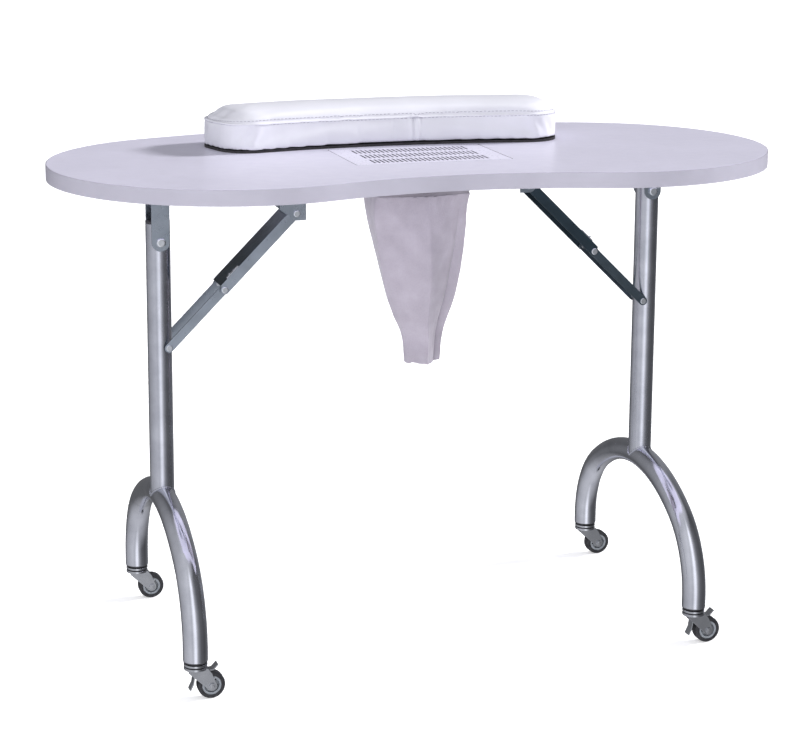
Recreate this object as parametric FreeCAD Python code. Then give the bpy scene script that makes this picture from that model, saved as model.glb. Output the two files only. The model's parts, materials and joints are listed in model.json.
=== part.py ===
import FreeCAD, Part

import os
from math import atan2, cos, degrees, radians, sin, sqrt

# Folding manicure table: kidney-shaped top with a fan-assisted dust vent and bag, a padded
# armrest, and two fold-away leg frames on braces and swivel casters.
#
# Frame: +X along the table, +Y away from the technician, +Z up. The origin is on the floor,
# under the middle of the top. All sizes are in millimetres.

V = FreeCAD.Vector

# ---------------------------------------------------------------- driving dimensions
TOP_Z = 720.0  # working height
BOARD_T = 22.0  # thickness of the top
LOBE_X = 278.0  # centre of each round end of the top
LOBE_Y = -23.6
LOBE_R = 260.0
FAR_R = 1103.0  # gentle bulge of the client's side
NEAR_R = 599.0  # hollow of the technician's side
BAND_T = 1.2  # edge banding

VENT_Y = -40.0  # middle of the dust vent
GRILLE = (232.0, 156.0)
GRILLE_T = 2.6
GRILLE_CORNER_R = 4.0
REBATE_GAP = 1.2  # all round the grille
CUTOUT = (176.0, 130.0)
SLOT = (3.3, 33.0)
SLOT_PITCH = 6.8
SLOTS_PER_ROW = 26
SLOT_ROWS = (-46.0, 0.0, 46.0)

HOUSING = (140.0, 100.0)  # fan housing, outside
HOUSING_BOTTOM = 684.0
HOUSING_R = 5.0
HOUSING_FLANGE = (212.0, 166.0)
HOUSING_SCREWS = (98.0, 75.0)  # each screw, from the middle of the vent
SHELL_T = 2.5
FAN_SIZE = 92.0
FAN_DEPTH = 20.0
FAN_BORE_R = 42.0
FAN_STRUT = (4.0, 2.5)  # width, thickness
MOTOR_R = 15.5
ROTOR_HUB_R = 19.0
BLADE_COUNT = 7
BLADE = (34.0, 1.6, 15.0)
BLADE_PITCH = 38.0  # degrees

COLLAR_Z = (682.0, 695.0)
COLLAR_T = 2.7
COLLAR_GAP = 0.3
CLOTH_T = 1.5
# The bag's levels from its hem down: centre x, width, depth and height.
BAG_LEVELS = (
    (-2, 145, 105, 682),
    (-9, 141, 99, 645),
    (-3, 134, 93, 600),
    (0, 120, 84, 550),
    (0, 104, 73, 510),
    (0, 81, 57, 480),
    (6, 60, 44, 455),
    (6, 56, 40, 410),
)
BAG_CORNER_R = 18.0

SWITCH_XY = (150.0, -90.0)  # the control box under the top
SWITCH_BOX = (64.0, 34.0, 24.0)
ROCKER_X = 162.0
ROCKER = (19.8, 14.8, 9.0)
ROCKER_RECESS = (21.6, 15.6, 14.0)
ROCKER_PIN_UP = 5.0  # above the underside of the box
ROCKER_TILT = 7.0  # degrees, at rest
ROCKER_BEVEL = 9.0  # degrees
INLET_R = 6.0

ARMREST_X = -10.0
ARMREST_NEAR_Y = 52.0
ARMREST_L = 582.0  # along its far edge, before the corners are rounded
ARMREST_DEPTH = 136.0
ARMREST_BEND_R = 985.0
ARMREST_CORNER_R = 52.0
ARMREST_BASE_T = 3.5
CUSHION_H = 45.5

LEG_Y = -20.0
TUBE_R = 17.5
TUBE_WALL = 1.5
FOOT_Y = 213.0  # each foot, from the post
FOOT_Z = 56.6  # lower end of the arch tube
ARCH_TOP_Z = 231.0  # tube axis at the crown of the arch
ARCH_STRAIGHT = 15.0
SHOULDER_R = 135.0
POST_ABOVE_PIVOT = 25.0
PIVOT_R = 4.0
RUNNING_GAP = 0.05
PLATE_T = 2.5

# Each side: which way is outward, then, as (x, z), the leg pivot, the upper pin of the
# brace and the lower pin on the post. The right leg folds first and the left one under it.
# "relief" is how far from the upper pin the brace's web is cut away for the folded post.
SIDES = {
    "left": {
        "out": -1,
        "pivot": (-383.4, 609.5),
        "high_pin": (-186.4, 642.6),
        "low_pin": (-373.4, 455.0),
        "relief": None,
    },
    "right": {
        "out": 1,
        "pivot": (370.6, 649.5),
        "high_pin": (169.4, 667.4),
        "low_pin": (360.6, 480.0),
        "relief": 55.0,
    },
}
UPPER_LINK_L = 150.0
LINK_T = 1.8
UPPER_LINK_HALF_Y = 25.0
LOWER_BAR_Y = (18.2, 20.2)
LINK_BELOW = 6.5
LINK_ABOVE = 8.8
RIVET_R = 3.0
RIVET_HEAD_H = 2.2
POST_RELIEF_HALF_Y = 18.6  # the slot in the web that the folded post lies in
LATCH_Y = (-24.5, -18.9)
LATCH_L = 24.0
LATCH_TO_PIN = 14.0  # from the knee pin to the latch's end
LATCH_TRAVEL = 6.0
LATCH_T = 1.5
LATCH_TAB_H = 1.8

BRACKET_EAR_HALF_X = 13.0
BRACKET_PLATE = (66.0, 78.0)
BRACKET_SCREWS = (24.0, 31.0)
BRACKET_EAR_GAP = 19.2  # half the space between the ears
BRACE_PLATE = (39.0, 88.0)
BRACE_SCREWS = (12.0, 36.0)
BRACE_PLATE_SHIFT = 5.5  # outward from the pin
BRACE_EAR_T = 2.2
SCREW_R = 1.9
SCREW_HEAD = (2.4, 3.6, 2.0)
SCREW_DEPTH = 14.0
HOUSING_SCREW_DEPTH = 12.0
BOLT_HEAD_R = 6.8
NUT_R = 7.4

WHEEL_R = 19.5
WHEEL_TRAIL = 21.0
HUB_R = 13.6
TYRE_HALF_W = 8.5
AXLE_R = 2.5
FORK_INNER = 9.3
FORK_T = 2.0
CROWN_R = 16.5
CROWN_Z = (43.5, 47.5)
RACE_Z = (49.0, 52.5)
KINGPIN_R = 4.0
STEM_R = 5.0
NECK_R = 11.5
SEAL_R = 14.0
# The fork's side plate as (x, z): x from the kingpin, z above the floor.
FORK_PROFILE = ((-12, 45.5), (15.5, 45.5), (21, 38), (27.6, 22), (25.2, 13.9), (17.4, 13.4), (-12, 41.5))
HUB_SPOKES = 5
BRAKE_PIVOT = (4.0, 37.2)
BRAKE_PIN_R = 1.5
BRAKE_T = 1.4
BRAKE_HALF_W = 7.0
# The middle of the bent brake strip, from its pedal to its release tab, as (x, z).
BRAKE_STRIP = (
    (30.5, 49.0),
    (23.5, 41.6),
    (11.0, 40.6),
    (4.0, 38.9),
    (-3.0, 33.0),
    (-4.6, 23.0),
    (-9.0, 14.0),
)

UNDER_Z = TOP_Z - BOARD_T


# ---------------------------------------------------------------- helpers
def box(x0, x1, y0, y1, z0, z1):
    return Part.makeBox(x1 - x0, y1 - y0, z1 - z0, V(x0, y0, z0))


def centred_box(cx, cy, size, z0, z1):
    return box(cx - size[0] / 2, cx + size[0] / 2, cy - size[1] / 2, cy + size[1] / 2, z0, z1)


def rounded_box(cx, cy, size, z0, z1, radius):
    block = centred_box(cx, cy, size, z0, z1)
    return block.makeFillet(radius, upright_edges(block))


def upright_edges(shape):
    found = []
    for edge in shape.Edges:
        a, b = edge.Vertexes[0].Point, edge.Vertexes[-1].Point
        if abs(a.x - b.x) < 0.01 and abs(a.y - b.y) < 0.01 and abs(a.z - b.z) > 0.5:
            found.append(edge)
    return found


def upright_cylinder(x, y, z0, z1, radius):
    return Part.makeCylinder(radius, z1 - z0, V(x, y, z0))


def cross_cylinder(x, z, y0, y1, radius):
    """A cylinder along Y."""
    return Part.makeCylinder(radius, y1 - y0, V(x, y0, z), V(0, 1, 0))


def plate_xz(points, y0, y1):
    """A flat outline given as (x, z) points, extruded along Y."""
    corners = [V(x, y0, z) for x, z in points]
    return Part.Face(Part.makePolygon(corners + corners[:1])).extrude(V(0, y1 - y0, 0))


def joined(shapes):
    whole = shapes[0]
    for shape in shapes[1:]:
        whole = whole.fuse(shape)
    return whole.removeSplitter()


def revolved(points, x, y, z):
    """A turned part about the Y axis through (x, y, z), from (radius, along) points."""
    corners = [V(x + r, y + a, z) for r, a in points]
    face = Part.Face(Part.makePolygon(corners + corners[:1]))
    return face.revolve(V(x, y, z), V(0, 1, 0), 360)


def both_sides(near):
    """A piece on the near side of the leg's plane, and its mirror image on the far side."""
    return [near, near.mirror(V(0, LEG_Y, 0), V(0, 1, 0))]


def save(name, *solids):
    shape = solids[0] if len(solids) == 1 else Part.makeCompound(list(solids))
    shape.exportStep(f"parts/{name}.step")


# ---------------------------------------------------------------- table top
def outline(inset):
    """The kidney outline: two round ends, a bulging far side and a hollow near side."""
    lobe_r = LOBE_R - inset
    far_r = FAR_R - inset
    near_r = NEAR_R + inset
    far_centre = V(0, LOBE_Y - sqrt((FAR_R - LOBE_R) ** 2 - LOBE_X**2), 0)
    near_centre = V(0, LOBE_Y - sqrt((NEAR_R + LOBE_R) ** 2 - LOBE_X**2), 0)
    lobe = V(LOBE_X, LOBE_Y, 0)
    far_joint = far_centre + (lobe - far_centre).normalize() * far_r
    near_joint = near_centre + (lobe - near_centre).normalize() * near_r

    def flipped(point):
        return V(-point.x, point.y, 0)

    far_mid = V(0, far_centre.y + far_r, 0)
    near_mid = V(0, near_centre.y + near_r, 0)
    end = lobe + V(lobe_r, 0, 0)
    edges = [
        Part.Arc(flipped(far_joint), far_mid, far_joint).toShape(),
        Part.Arc(far_joint, end, near_joint).toShape(),
        Part.Arc(near_joint, near_mid, flipped(near_joint)).toShape(),
        Part.Arc(flipped(near_joint), flipped(end), flipped(far_joint)).toShape(),
    ]
    return Part.Face(Part.Wire(edges))


def slab(inset, z0, z1):
    face = outline(inset)
    face.translate(V(0, 0, z0))
    return face.extrude(V(0, 0, z1 - z0))


def make_top():
    board = slab(BAND_T, UNDER_Z, TOP_Z)
    board = board.cut(centred_box(0, VENT_Y, CUTOUT, UNDER_Z - 1, TOP_Z + 1))
    rebate = (GRILLE[0] + 2 * REBATE_GAP, GRILLE[1] + 2 * REBATE_GAP)
    rebate_z = TOP_Z - GRILLE_T
    board = board.cut(rounded_box(0, VENT_Y, rebate, rebate_z, TOP_Z + 1, GRILLE_CORNER_R + REBATE_GAP))
    for x, y, depth in screw_places():
        board = board.cut(upright_cylinder(x, y, UNDER_Z - 1, UNDER_Z + depth, SCREW_R))
    save("table_top", board)
    save("edge_band", slab(0, UNDER_Z, TOP_Z - 0.3).cut(slab(BAND_T, UNDER_Z - 1, TOP_Z + 1)))


def make_grille():
    grille = rounded_box(0, VENT_Y, GRILLE, TOP_Z - GRILLE_T, TOP_Z, GRILLE_CORNER_R)
    first = -SLOT_PITCH * (SLOTS_PER_ROW - 1) / 2
    cutters = []
    for row in SLOT_ROWS:
        for i in range(SLOTS_PER_ROW):
            x = first + i * SLOT_PITCH
            cutters.append(centred_box(x, VENT_Y + row, SLOT, TOP_Z - 5, TOP_Z + 1))
    save("vent_grille", grille.cut(Part.makeCompound(cutters)))


# ---------------------------------------------------------------- fan, housing and dust bag
def vent_corners():
    """The four screws of the housing flange."""
    dx, dy = HOUSING_SCREWS
    return [(sx * dx, VENT_Y + sy * dy) for sx in (-1, 1) for sy in (-1, 1)]


def make_fan_housing():
    flange_z = UNDER_Z - SHELL_T
    inner = (HOUSING[0] - 2 * SHELL_T, HOUSING[1] - 2 * SHELL_T)
    shell = rounded_box(0, VENT_Y, HOUSING, HOUSING_BOTTOM, UNDER_Z, HOUSING_R)
    shell = shell.fuse(rounded_box(0, VENT_Y, HOUSING_FLANGE, flange_z, UNDER_Z, HOUSING_R + 1))
    shell = shell.cut(centred_box(0, VENT_Y, inner, HOUSING_BOTTOM + SHELL_T, UNDER_Z + 1))
    shell = shell.cut(upright_cylinder(0, VENT_Y, HOUSING_BOTTOM - 1, TOP_Z, FAN_BORE_R))
    for x, y in vent_corners():
        shell = shell.cut(upright_cylinder(x, y, flange_z - 1, TOP_Z, SCREW_R))
    save("fan_housing", shell.removeSplitter())


def make_fan():
    z0 = HOUSING_BOTTOM + SHELL_T
    z1 = z0 + FAN_DEPTH
    strut_w, strut_t = FAN_STRUT
    frame = rounded_box(0, VENT_Y, (FAN_SIZE, FAN_SIZE), z0, z1, HOUSING_R)
    frame = frame.cut(upright_cylinder(0, VENT_Y, z0 - 1, z1 + 1, FAN_BORE_R))
    struts = [upright_cylinder(0, VENT_Y, z0, z0 + strut_t, MOTOR_R + 1.5)]
    for k in range(4):
        arm = box(10, FAN_BORE_R + 1.5, -strut_w / 2, strut_w / 2, z0, z0 + strut_t)
        arm.rotate(V(0, 0, 0), V(0, 0, 1), 45 + 90 * k)
        arm.translate(V(0, VENT_Y, 0))
        struts.append(arm)
    save("fan_frame", joined([frame] + struts))
    save("fan_motor", upright_cylinder(0, VENT_Y, z0 + strut_t, z1 - 3.5, MOTOR_R))

    rotor_z = (z0 + 4, z1 - 1)
    hub = upright_cylinder(0, VENT_Y, *rotor_z, ROTOR_HUB_R)
    hub = hub.cut(upright_cylinder(0, VENT_Y, z0, z1 - 3, MOTOR_R + 1))
    length, thick, height = BLADE
    blades = []
    for k in range(BLADE_COUNT):
        blade = Part.makeBox(length, thick, height, V(0, -thick / 2, -height / 2))
        blade.rotate(V(0, 0, 0), V(1, 0, 0), BLADE_PITCH)
        blade.translate(V(ROTOR_HUB_R - 1, 0, sum(rotor_z) / 2))
        blade.rotate(V(0, 0, 0), V(0, 0, 1), 360 / BLADE_COUNT * k)
        blade.translate(V(0, VENT_Y, 0))
        blades.append(blade)
    envelope = upright_cylinder(0, VENT_Y, *rotor_z, FAN_BORE_R - 1.5)
    save("fan_impeller", joined([hub] + blades).common(envelope))


def level_wire(cx, width, depth, z, radius):
    """A rounded rectangle, level at height z."""
    block = rounded_box(cx, VENT_Y, (width, depth), z, z + 1, radius)
    for face in block.Faces:
        if abs(face.CenterOfMass.z - z) < 0.01:
            return face.OuterWire


def make_dust_bag():
    low, high = COLLAR_Z
    bore = (HOUSING[0] + 2 * COLLAR_GAP, HOUSING[1] + 2 * COLLAR_GAP)
    outer = (bore[0] + 2 * COLLAR_T, bore[1] + 2 * COLLAR_T)
    bore_r = HOUSING_R + COLLAR_GAP
    ring = rounded_box(0, VENT_Y, outer, low, high, bore_r + COLLAR_T)
    save("bag_collar", ring.cut(rounded_box(0, VENT_Y, bore, low - 1, high + 1, bore_r)))

    outside, inside = [], []
    for x, width, depth, z in BAG_LEVELS:
        outside.append(level_wire(x, width, depth, z, BAG_CORNER_R))
        inner = (width - 2 * CLOTH_T, depth - 2 * CLOTH_T)
        inside.append(level_wire(x, *inner, z, BAG_CORNER_R - CLOTH_T))
    bottom = BAG_LEVELS[-1][3]
    hollow = Part.makeLoft(inside, True, True)
    hollow = hollow.cut(box(-200, 200, -200, 200, bottom - 1, bottom + CLOTH_T))
    save("dust_bag", Part.makeLoft(outside, True, True).cut(hollow))


def make_switch():
    x, y = SWITCH_XY
    width, depth, height = SWITCH_BOX
    z0 = UNDER_Z - height
    pin_z = z0 + ROCKER_PIN_UP
    recess_w, recess_d, recess_h = ROCKER_RECESS
    socket_x = x - width / 2 - 1
    socket = Part.makeCylinder(INLET_R, 10, V(socket_x, y, z0 + height / 2), V(1, 0, 0))
    body = rounded_box(x, y, (width, depth), z0, UNDER_Z, 3)
    body = body.cut(centred_box(ROCKER_X, y, (recess_w, recess_d), z0 - 1, z0 + recess_h))
    save("control_box", body.cut(socket))

    w, d, h = ROCKER
    rocker = box(-w / 2, w / 2, -d / 2, d / 2, 0, h)
    wedge = Part.makeBox(w, 2 * d, 10, V(0, -d, -10))
    wedge.rotate(V(0, 0, 0), V(0, 1, 0), -ROCKER_BEVEL)
    rocker = rocker.cut(wedge).cut(wedge.mirror(V(0, 0, 0), V(1, 0, 0)))
    pin_up = ROCKER_PIN_UP + 0.5
    pin_r = 1.5
    rocker = rocker.cut(cross_cylinder(0, pin_up, -d, d, pin_r + RUNNING_GAP))
    rocker.rotate(V(0, 0, pin_up), V(0, 1, 0), -ROCKER_TILT)
    rocker.translate(V(ROCKER_X, y, pin_z - pin_up))
    save("switch_rocker", rocker)
    save("switch_pin", cross_cylinder(ROCKER_X, pin_z, y - recess_d / 2, y + recess_d / 2, pin_r))

    socket = socket.cut(Part.makeCylinder(2.8, 8, V(socket_x - 1, y, z0 + height / 2), V(1, 0, 0)))
    contact = Part.makeCylinder(1.0, 8, V(socket_x + 1, y, z0 + height / 2), V(1, 0, 0))
    save("power_inlet", socket.fuse(contact).removeSplitter())


# ---------------------------------------------------------------- armrest
def armrest_face(inset, z):
    """A band bent round the technician's side, before its corners are rounded."""
    inner_r = ARMREST_BEND_R + inset
    outer_r = ARMREST_BEND_R + ARMREST_DEPTH - inset
    half = (ARMREST_L / 2 - inset) / outer_r
    centre = V(ARMREST_X, ARMREST_NEAR_Y - ARMREST_BEND_R, z)

    def at(radius, angle):
        return centre + V(radius * sin(angle), radius * cos(angle), 0)

    edges = [
        Part.Arc(at(inner_r, -half), at(inner_r, 0), at(inner_r, half)).toShape(),
        Part.LineSegment(at(inner_r, half), at(outer_r, half)).toShape(),
        Part.Arc(at(outer_r, half), at(outer_r, 0), at(outer_r, -half)).toShape(),
        Part.LineSegment(at(outer_r, -half), at(inner_r, -half)).toShape(),
    ]
    return Part.Face(Part.Wire(edges))


def armrest_block(inset, z0, z1):
    block = armrest_face(inset, z0).extrude(V(0, 0, z1 - z0))
    return block.makeFillet(ARMREST_CORNER_R - inset, upright_edges(block))


def make_armrest():
    cushion_z = TOP_Z + ARMREST_BASE_T
    save("armrest_base", armrest_block(3, TOP_Z, cushion_z))
    cushion = armrest_block(0, cushion_z, cushion_z + CUSHION_H)
    top_edges = [e for e in cushion.Edges if all(v.Z > cushion_z + CUSHION_H - 0.1 for v in e.Vertexes)]
    save("armrest_cushion", cushion.makeFillet(9, top_edges))


# ---------------------------------------------------------------- leg frames
def arch_path(sx):
    """Axis of the bent foot tube: straight feet, tight shoulders and a wide crown."""
    spring_z = FOOT_Z + ARCH_STRAIGHT
    rise = ARCH_TOP_Z - spring_z
    shoulder_y = FOOT_Y - SHOULDER_R
    crown_r = (shoulder_y**2 + rise**2 - SHOULDER_R**2) / (2 * (rise - SHOULDER_R))
    crown_z = ARCH_TOP_Z - crown_r
    lean = atan2(shoulder_y, spring_z - crown_z)

    def at(y, z):
        return V(sx, LEG_Y + y, z)

    def shoulder(side, angle):
        return at(side * (shoulder_y + SHOULDER_R * sin(angle)), spring_z + SHOULDER_R * cos(angle))

    quarter = radians(90)
    middle = (lean + quarter) / 2
    edges = [Part.LineSegment(at(-FOOT_Y, FOOT_Z), at(-FOOT_Y, spring_z)).toShape()]
    edges.append(Part.Arc(shoulder(-1, quarter), shoulder(-1, middle), shoulder(-1, lean)).toShape())
    edges.append(Part.Arc(shoulder(-1, lean), at(0, ARCH_TOP_Z), shoulder(1, lean)).toShape())
    edges.append(Part.Arc(shoulder(1, lean), shoulder(1, middle), shoulder(1, quarter)).toShape())
    edges.append(Part.LineSegment(at(FOOT_Y, spring_z), at(FOOT_Y, FOOT_Z)).toShape())
    return Part.Wire(edges)


def bent_rod(sx, radius):
    circle = Part.Circle(V(sx, LEG_Y - FOOT_Y, FOOT_Z), V(0, 0, 1), radius).toShape()
    return arch_path(sx).makePipeShell([Part.Wire(circle)], True, False)


def make_leg(side):
    sx, pivot_z = SIDES[side]["pivot"]
    arch_rod = bent_rod(sx, TUBE_R)
    arch = arch_rod.cut(bent_rod(sx, TUBE_R - TUBE_WALL))
    save(f"{side}_arch", arch)

    post_top = pivot_z + POST_ABOVE_PIVOT
    post = upright_cylinder(sx, LEG_Y, ARCH_TOP_Z, post_top, TUBE_R)
    post = post.cut(upright_cylinder(sx, LEG_Y, ARCH_TOP_Z - 1, post_top + 1, TUBE_R - TUBE_WALL))
    post = post.cut(arch_rod)
    post = post.cut(cross_cylinder(sx, pivot_z, LEG_Y - 30, LEG_Y + 30, PIVOT_R + RUNNING_GAP))
    save(f"{side}_post", post)

    cap = upright_cylinder(sx, LEG_Y, post_top, post_top + 4, TUBE_R)
    cap = cap.makeFillet(1.5, [e for e in cap.Edges if e.BoundBox.ZMin > post_top + 3.9])
    cap = cap.fuse(upright_cylinder(sx, LEG_Y, post_top - 12, post_top, TUBE_R - TUBE_WALL))
    save(f"{side}_post_cap", cap.removeSplitter())

    plugs, stems = [], []
    for y in (LEG_Y - FOOT_Y, LEG_Y + FOOT_Y):
        plugs += make_foot_plug(sx, y)
        stems.append(caster_stem(sx, y))
    save(f"{side}_foot_plugs", *plugs)
    save(f"{side}_caster_stems", *stems)


def make_foot_plug(sx, y):
    """The plug in one foot of the arch, with its neck, and the seal under the race."""
    rim_z = FOOT_Z - 2.2
    plug = upright_cylinder(sx, y, FOOT_Z, FOOT_Z + 20, TUBE_R - TUBE_WALL)
    plug = plug.fuse(upright_cylinder(sx, y, rim_z, FOOT_Z, TUBE_R - 0.8))
    plug = plug.fuse(upright_cylinder(sx, y, RACE_Z[1], rim_z, NECK_R))
    plug = plug.cut(upright_cylinder(sx, y, RACE_Z[1] - 1, FOOT_Z + 21, STEM_R))
    seal = upright_cylinder(sx, y, CROWN_Z[1] + 0.2, RACE_Z[0], SEAL_R)
    seal = seal.cut(upright_cylinder(sx, y, CROWN_Z[1], RACE_Z[0] + 1, KINGPIN_R))
    return [plug.removeSplitter(), seal]


def caster_stem(sx, y):
    race = upright_cylinder(sx, y, *RACE_Z, CROWN_R)
    race = race.makeFillet(1.2, [e for e in race.Edges if e.BoundBox.ZLength < 0.01])
    head_z = CROWN_Z[0] - 0.3
    stem = race.fuse(upright_cylinder(sx, y, RACE_Z[1], FOOT_Z + 20, STEM_R))
    stem = stem.fuse(upright_cylinder(sx, y, head_z, RACE_Z[0], KINGPIN_R))
    stem = stem.fuse(upright_cylinder(sx, y, head_z - 2.2, head_z, KINGPIN_R + 2))
    return stem.removeSplitter()


def bracket(points, pin, half_gap, thick, radius, hole_r, plate_at, plate, screws):
    """Two upright ears, each with a rounded foot about its pin, under a plate with screw holes."""
    y0 = LEG_Y - half_gap - thick
    y1 = LEG_Y - half_gap
    ear = plate_xz(points, y0, y1).fuse(cross_cylinder(*pin, y0, y1, radius))
    ear = ear.cut(cross_cylinder(*pin, y0 - 1, y1 + 1, hole_r)).removeSplitter()
    top = UNDER_Z - PLATE_T
    base = rounded_box(plate_at, LEG_Y, plate, top, UNDER_Z, 5)
    for x, y, _ in bracket_screws(plate_at, *screws):
        base = base.cut(upright_cylinder(x, y, top - 1, UNDER_Z + 1, SCREW_R))
    return joined([base] + both_sides(ear))


def make_leg_bracket(side):
    sx, pz = SIDES[side]["pivot"]
    half = BRACKET_EAR_HALF_X
    points = [(sx - half, pz), (sx + half, pz), (sx + half, UNDER_Z), (sx - half, UNDER_Z)]
    shape = bracket(
        points, (sx, pz), BRACKET_EAR_GAP, PLATE_T, half, PIVOT_R, sx, BRACKET_PLATE, BRACKET_SCREWS
    )
    save(f"{side}_leg_bracket", shape)


def make_brace_bracket(side):
    out = SIDES[side]["out"]
    bx, bz = SIDES[side]["high_pin"]
    x_out, x_in = bx + out * 25, bx - out * 14
    low = bz - 10
    points = [(x_out, UNDER_Z), (x_out, bz + 8), (bx, low), (x_in, low), (x_in, UNDER_Z)]
    gap = UPPER_LINK_HALF_Y + 0.3
    plate_at = bx + out * BRACE_PLATE_SHIFT
    shape = bracket(
        points, (bx, bz), gap, BRACE_EAR_T, 10, RIVET_R, plate_at, BRACE_PLATE, BRACE_SCREWS
    )
    save(f"{side}_brace_bracket", shape)


def bracket_screws(cx, half_x, half_y):
    return [(cx + sx * half_x, LEG_Y + sy * half_y, SCREW_DEPTH) for sx in (-1, 1) for sy in (-1, 1)]


def screw_places():
    """Every wood screw in the underside: x, y and how deep it goes into the board."""
    places = [(x, y, HOUSING_SCREW_DEPTH) for x, y in vent_corners()]
    for side in SIDES.values():
        places += bracket_screws(side["pivot"][0], *BRACKET_SCREWS)
        places += bracket_screws(side["high_pin"][0] + side["out"] * BRACE_PLATE_SHIFT, *BRACE_SCREWS)
    return places


def make_screws():
    neck_r, head_r, head_h = SCREW_HEAD
    head_z = UNDER_Z - PLATE_T
    screws = []
    for x, y, depth in screw_places():
        screw = upright_cylinder(x, y, head_z, UNDER_Z + depth, SCREW_R)
        screws.append(screw.fuse(Part.makeCone(neck_r, head_r, head_h, V(x, y, head_z - head_h))))
    save("underside_screws", *[screw.removeSplitter() for screw in screws])


def make_pivot_bolts():
    seat = BRACKET_EAR_GAP + PLATE_T
    bolts = []
    for side in SIDES.values():
        sx, pz = side["pivot"]
        shank = cross_cylinder(sx, pz, LEG_Y - seat, LEG_Y + seat + 5.3, PIVOT_R)
        head = cross_cylinder(sx, pz, LEG_Y - seat - 3.5, LEG_Y - seat, BOLT_HEAD_R)
        head = head.makeFillet(2.2, [e for e in head.Edges if e.BoundBox.YMax < LEG_Y - seat - 3.4])
        nut = Part.Face(Part.makePolygon(hexagon(sx, pz, NUT_R, LEG_Y + seat))).extrude(V(0, 4.5, 0))
        bolts.append(joined([shank, head, nut]))
    save("leg_pivot_bolts", *bolts)


def hexagon(x, z, radius, y):
    return [V(x + radius * cos(radians(60 * k)), y, z + radius * sin(radians(60 * k))) for k in range(7)]


# ---------------------------------------------------------------- folding braces
def brace_line(side):
    """The unfolded brace: its slope in degrees and its length from the upper to the lower pin."""
    bx, bz = SIDES[side]["high_pin"]
    ax, az = SIDES[side]["low_pin"]
    return degrees(atan2(az - bz, ax - bx)), sqrt((ax - bx) ** 2 + (az - bz) ** 2)


def placed_on_link(shape, side, start):
    """Turn a piece drawn along +X from the origin so that it runs from start to the lower pin."""
    angle, _ = brace_line(side)
    bx, bz = SIDES[side]["high_pin"]
    shape.rotate(V(0, 0, 0), V(0, 1, 0), -angle)
    shape.translate(V(bx + start * cos(radians(angle)), LEG_Y, bz + start * sin(radians(angle))))
    return shape


def drilled(shape, x, radius):
    return shape.cut(cross_cylinder(x, 0, -40, 40, radius))


def wall(side, inner, outer):
    """The span in Y of a wall on one side of the leg's plane."""
    return sorted((side * inner, side * outer))


def web_side(side, low, high):
    """Heights measured from the pins, with the web on the side that faces the table's end."""
    return (low, high) if SIDES[side]["out"] > 0 else (-high, -low)


def make_upper_link(side):
    half = UPPER_LINK_HALF_Y
    length = UPPER_LINK_L
    inner = half - LINK_T
    web = (LINK_ABOVE - LINK_T, LINK_ABOVE)
    through_web = web_side(side, web[0] - 1, web[1] + 1)
    link = box(0, length, -half, half, *web_side(side, -LINK_BELOW, LINK_ABOVE))
    link = link.cut(box(-1, length + 1, -inner, inner, *web_side(side, -LINK_BELOW - 1, web[0])))
    link = link.cut(box(-1, 11, -inner, inner, *through_web))
    for end in (0, length):
        for s in (-1, 1):
            link = link.fuse(cross_cylinder(end, 0, *wall(s, inner, half), LINK_BELOW))
    relief = SIDES[side]["relief"]
    if relief:
        width = POST_RELIEF_HALF_Y
        link = link.cut(box(relief, length + 20, -width, width, *through_web))
    slot_end = length - LATCH_TO_PIN - LATCH_TRAVEL
    link = link.cut(box(slot_end - 14, slot_end, LATCH_Y[0] + 2, LATCH_Y[1] - 1, *through_web))
    link = drilled(link.removeSplitter(), 0, RIVET_R + RUNNING_GAP)
    save(f"{side}_brace_upper", placed_on_link(drilled(link, length, RIVET_R), side, 0))


def make_lower_bars(side):
    length = brace_line(side)[1] - UPPER_LINK_L
    bars = []
    for s in (-1, 1):
        y = wall(s, *LOWER_BAR_Y)
        bar = box(0, length, *y, -LINK_BELOW, LINK_BELOW)
        for end in (0, length):
            bar = bar.fuse(cross_cylinder(end, 0, *y, LINK_BELOW))
        bar = drilled(bar.removeSplitter(), 0, RIVET_R + RUNNING_GAP)
        bars.append(placed_on_link(drilled(bar, length, RIVET_R), side, UPPER_LINK_L))
    save(f"{side}_brace_lower", *bars)


def make_latch(side):
    """The sliding catch on the web, beside the knee: a strip with a thumb tab and a slot."""
    end = UPPER_LINK_L - LATCH_TO_PIN
    y0, y1 = LATCH_Y
    base = LINK_ABOVE + LATCH_T
    latch = box(end - LATCH_L, end, y0, y1, *web_side(side, LINK_ABOVE, base))
    tab = box(end - 8, end - 6.2, y0, y1, *web_side(side, base, base + LATCH_TAB_H))
    slot = box(end - 20, end - 14, y0 + 2, y1 - 1.6, *web_side(side, LINK_ABOVE - 1, base + 1))
    save(f"{side}_brace_lock", placed_on_link(latch.fuse(tab).cut(slot).removeSplitter(), side, 0))


def make_brace_rivets(side):
    """The rivets of the knee and of the lower pin. The upper pin's are returned."""
    half = UPPER_LINK_HALF_Y
    inner = half - LINK_T
    total = brace_line(side)[1]
    high, knee, low = [], [], []
    for s in (-1, 1):
        high.append(placed_on_link(rivet(s, inner, half + 2.5, 5.2), side, 0))
        washer = cross_cylinder(0, 0, *wall(s, LOWER_BAR_Y[1] + 0.3, inner), 5.5)
        pin = rivet(s, LOWER_BAR_Y[0], half, 5.2).fuse(washer).removeSplitter()
        knee.append(placed_on_link(pin, side, UPPER_LINK_L))
        low.append(placed_on_link(rivet(s, *LOWER_BAR_Y, 4.8, 1.6), side, total))
    save(f"{side}_brace_mid_rivets", *knee)
    save(f"{side}_brace_end_rivets", *low)
    return high


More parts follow.
